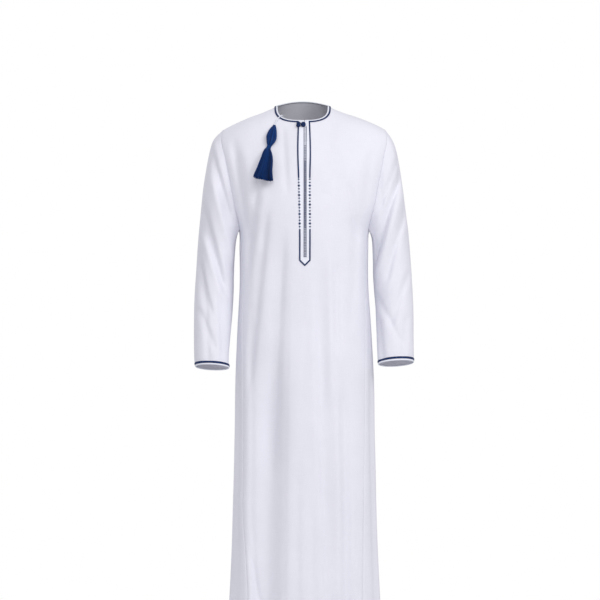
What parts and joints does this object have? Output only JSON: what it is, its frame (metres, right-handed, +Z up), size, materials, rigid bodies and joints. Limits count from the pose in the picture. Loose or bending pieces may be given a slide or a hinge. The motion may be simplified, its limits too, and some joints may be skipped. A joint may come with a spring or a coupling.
{
  "type": "thobe robe",
  "caption": "Long collarless white thobe, worn and hollow, with a braided placket, cuffs and a hanging tassel.",
  "frame": {"origin": "middle of the neck opening, level with the points where the neck meets the shoulders", "axes": "+Z up the wearer, -Y out of the front, +X towards the wearer's left"},
  "size_m": [0.5902, 0.3179, 1.4852],
  "materials": {
    "white_suiting": "smooth fine-woven white suiting with a faint sheen",
    "white_trim": "the same white cloth, folded double",
    "navy_braid": "navy satin-stitch braid",
    "grey_embroidery": "fine grey and navy embroidery",
    "white_cord": "twisted white thread",
    "tassel_thread": "navy viscose thread with a soft sheen"
  },
  "bodies": {
    "root": {"front_yoke_right": "white_suiting", "front_yoke_left": "white_suiting", "front_chest_right": "white_suiting", "front_chest_left": "white_suiting", "front_waist_right": "white_suiting", "front_waist_left": "white_suiting", "front_hem_right": "white_suiting", "front_hem_left": "white_suiting", "back_yoke_right": "white_suiting", "back_yoke_left": "white_suiting", "back_chest_right": "white_suiting", "back_chest_left": "white_suiting", "back_waist_right": "white_suiting", "back_waist_left": "white_suiting", "back_hem_right": "white_suiting", "back_hem_left": "white_suiting", "side_panel_right": "white_suiting", "side_panel_left": "white_suiting", "sleeve_right": "white_suiting", "sleeve_left": "white_suiting", "neck_binding": "white_trim", "placket": "white_trim", "placket_tab": "white_trim", "placket_band": "grey_embroidery", "neck_braid": "navy_braid", "placket_braid_right": "navy_braid", "placket_braid_left": "navy_braid", "placket_braid_point": "navy_braid", "neck_knot": "navy_braid", "neck_loop": "navy_braid", "cuff_braid_right": "navy_braid", "cuff_braid_left": "navy_braid", "cuff_binding_right": "white_trim", "cuff_binding_left": "white_trim", "tassel_cord": "white_cord", "tassel_head": "tassel_thread", "tassel_wrap": "tassel_thread", "tassel_skirt": "tassel_thread"}
  },
  "joints": []
}
